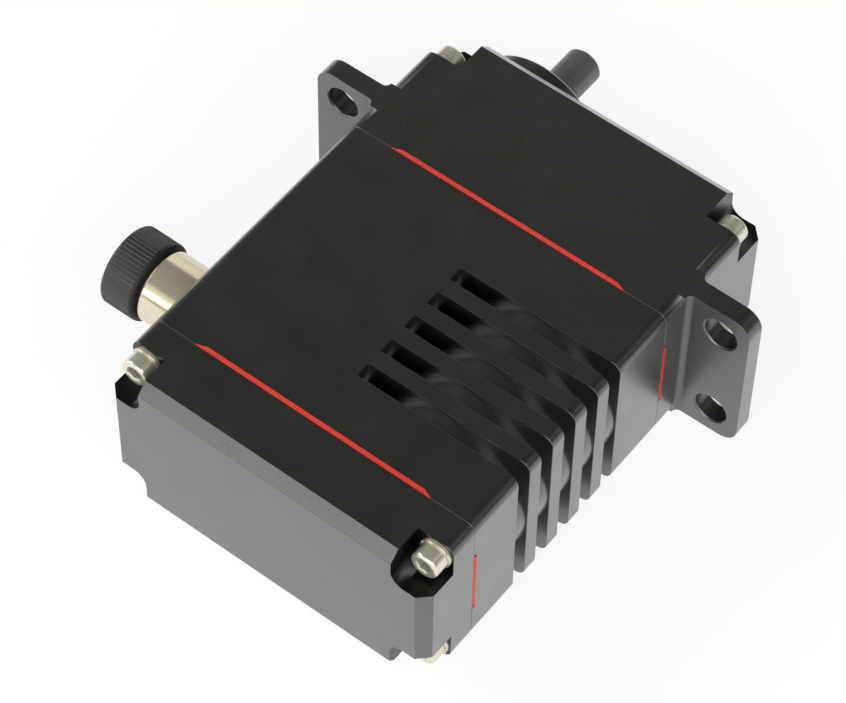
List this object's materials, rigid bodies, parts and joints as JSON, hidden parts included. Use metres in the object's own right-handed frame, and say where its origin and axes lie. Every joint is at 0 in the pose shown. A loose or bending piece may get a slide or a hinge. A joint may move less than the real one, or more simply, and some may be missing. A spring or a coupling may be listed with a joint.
{
  "type": "robot joint actuator",
  "caption": "Compact geared robot joint actuator: ribbed black housing in three bolted sections, flanged lugs, round output shaft and a capped side connector.",
  "frame": {"origin": "on the output shaft's axis, in the front face of the boss", "axes": "+Y along the output shaft out of the housing, +Z the normal of one wide face, +X from the output shaft towards the ribbed side"},
  "size_m": [0.0828, 0.0946, 0.028],
  "materials": {
    "housing_black": "satin hard-anodised",
    "seal_red": "matte silicone",
    "shaft_seal_rubber": "matte",
    "stainless": "turned, bright",
    "shaft_steel": "ground, dark",
    "bearing_steel": "polished",
    "gear_steel": "machined",
    "nickel_brass": "nickel-plated satin",
    "cap_black": "black anodised, knurled",
    "insert_plastic": "moulded",
    "contact_gold": "gold-plated",
    "motor_steel": "satin",
    "core_iron": "laminated",
    "copper_winding": "enamelled copper",
    "magnet_nickel": "nickel-plated",
    "board_green": "solder mask",
    "chip_black": "moulded",
    "capacitor_can": "satin"
  },
  "bodies": {
    "housing": {"rear_cover": "housing_black", "centre_case": "housing_black", "output_cover": "housing_black", "rear_seal": "seal_red", "front_seal": "seal_red", "rear_screws": "stainless", "front_screws": "stainless", "rear_washers": "stainless", "front_washers": "stainless", "main_bearing_outer": "bearing_steel", "main_bearing_balls": "bearing_steel", "nose_bearing_outer": "bearing_steel", "nose_bearing_balls": "bearing_steel", "foot_bearing_outer": "bearing_steel", "foot_bearing_balls": "bearing_steel", "shaft_seal": "shaft_seal_rubber", "idler_axle": "gear_steel", "axle_spacer": "gear_steel", "motor_can": "motor_steel", "motor_end_cap": "motor_steel", "stator_core": "core_iron", "stator_winding": "copper_winding", "motor_bearings": "bearing_steel", "motor_screws": "stainless", "sensor_chip": "chip_black", "sensor_board": "board_green", "controller_board": "board_green", "processor_chip": "chip_black", "power_transistors": "chip_black", "capacitors": "capacitor_can", "connector_shell": "nickel_brass", "connector_insert": "insert_plastic", "connector_nut": "nickel_brass", "connector_pins": "contact_gold"},
    "rotor": {"rotor_magnet": "magnet_nickel", "rotor_shaft": "gear_steel", "motor_pinion": "gear_steel"},
    "first_gear": {"first_gear": "gear_steel"},
    "second_gear": {"second_gear": "gear_steel"},
    "third_gear": {"third_gear": "gear_steel"},
    "output": {"output_shaft": "shaft_steel", "output_gear": "gear_steel", "main_bearing_inner": "bearing_steel", "nose_bearing_inner": "bearing_steel", "foot_bearing_inner": "bearing_steel", "foot_spacer": "gear_steel", "shaft_clip": "gear_steel", "sensor_magnet": "magnet_nickel"},
    "cap_liner": {"cap_seal": "shaft_seal_rubber"},
    "cap": {"knurled_cap": "cap_black"}
  },
  "joints": [
    {"name": "motor_turn", "type": "hinge", "parent": "housing", "child": "rotor", "pos_m": [0.0285, -0.02, 0], "axis": [0, 1, 0], "range_deg": [-10255, 10255]},
    {"name": "first_gear_turn", "type": "hinge", "parent": "housing", "child": "first_gear", "pos_m": [0.015, -0.02, 0], "axis": [0, 1, 0], "range_deg": [-2331, 2331]},
    {"name": "second_gear_turn", "type": "hinge", "parent": "housing", "child": "second_gear", "pos_m": [0, -0.02, 0], "axis": [0, 1, 0], "range_deg": [-710, 710]},
    {"name": "third_gear_turn", "type": "hinge", "parent": "housing", "child": "third_gear", "pos_m": [0.015, -0.02, 0], "axis": [0, 1, 0], "range_deg": [-225, 225]},
    {"name": "output_turn", "type": "hinge", "parent": "housing", "child": "output", "pos_m": [0, -0.02, 0], "axis": [0, 1, 0], "range_deg": [-85, 85]},
    {"name": "cap_travel", "type": "slide", "parent": "housing", "child": "cap_liner", "axis": [-1, 0, 0], "range_m": [0, 0.005]},
    {"name": "cap_unscrew", "type": "hinge", "parent": "cap_liner", "child": "cap", "pos_m": [-0.0265, -0.0602, 0], "axis": [-1, 0, 0], "range_deg": [0, 2401]}
  ],
  "couplings": [
    {"joint": "first_gear_turn", "follows": "motor_turn", "ratio": -0.22727},
    {"joint": "second_gear_turn", "follows": "motor_turn", "ratio": 0.06917},
    {"joint": "third_gear_turn", "follows": "motor_turn", "ratio": -0.021843},
    {"joint": "output_turn", "follows": "motor_turn", "ratio": 0.0082853},
    {"joint": "cap_unscrew", "follows": "cap_travel", "rad_per_m": 8377.6}
  ]
}
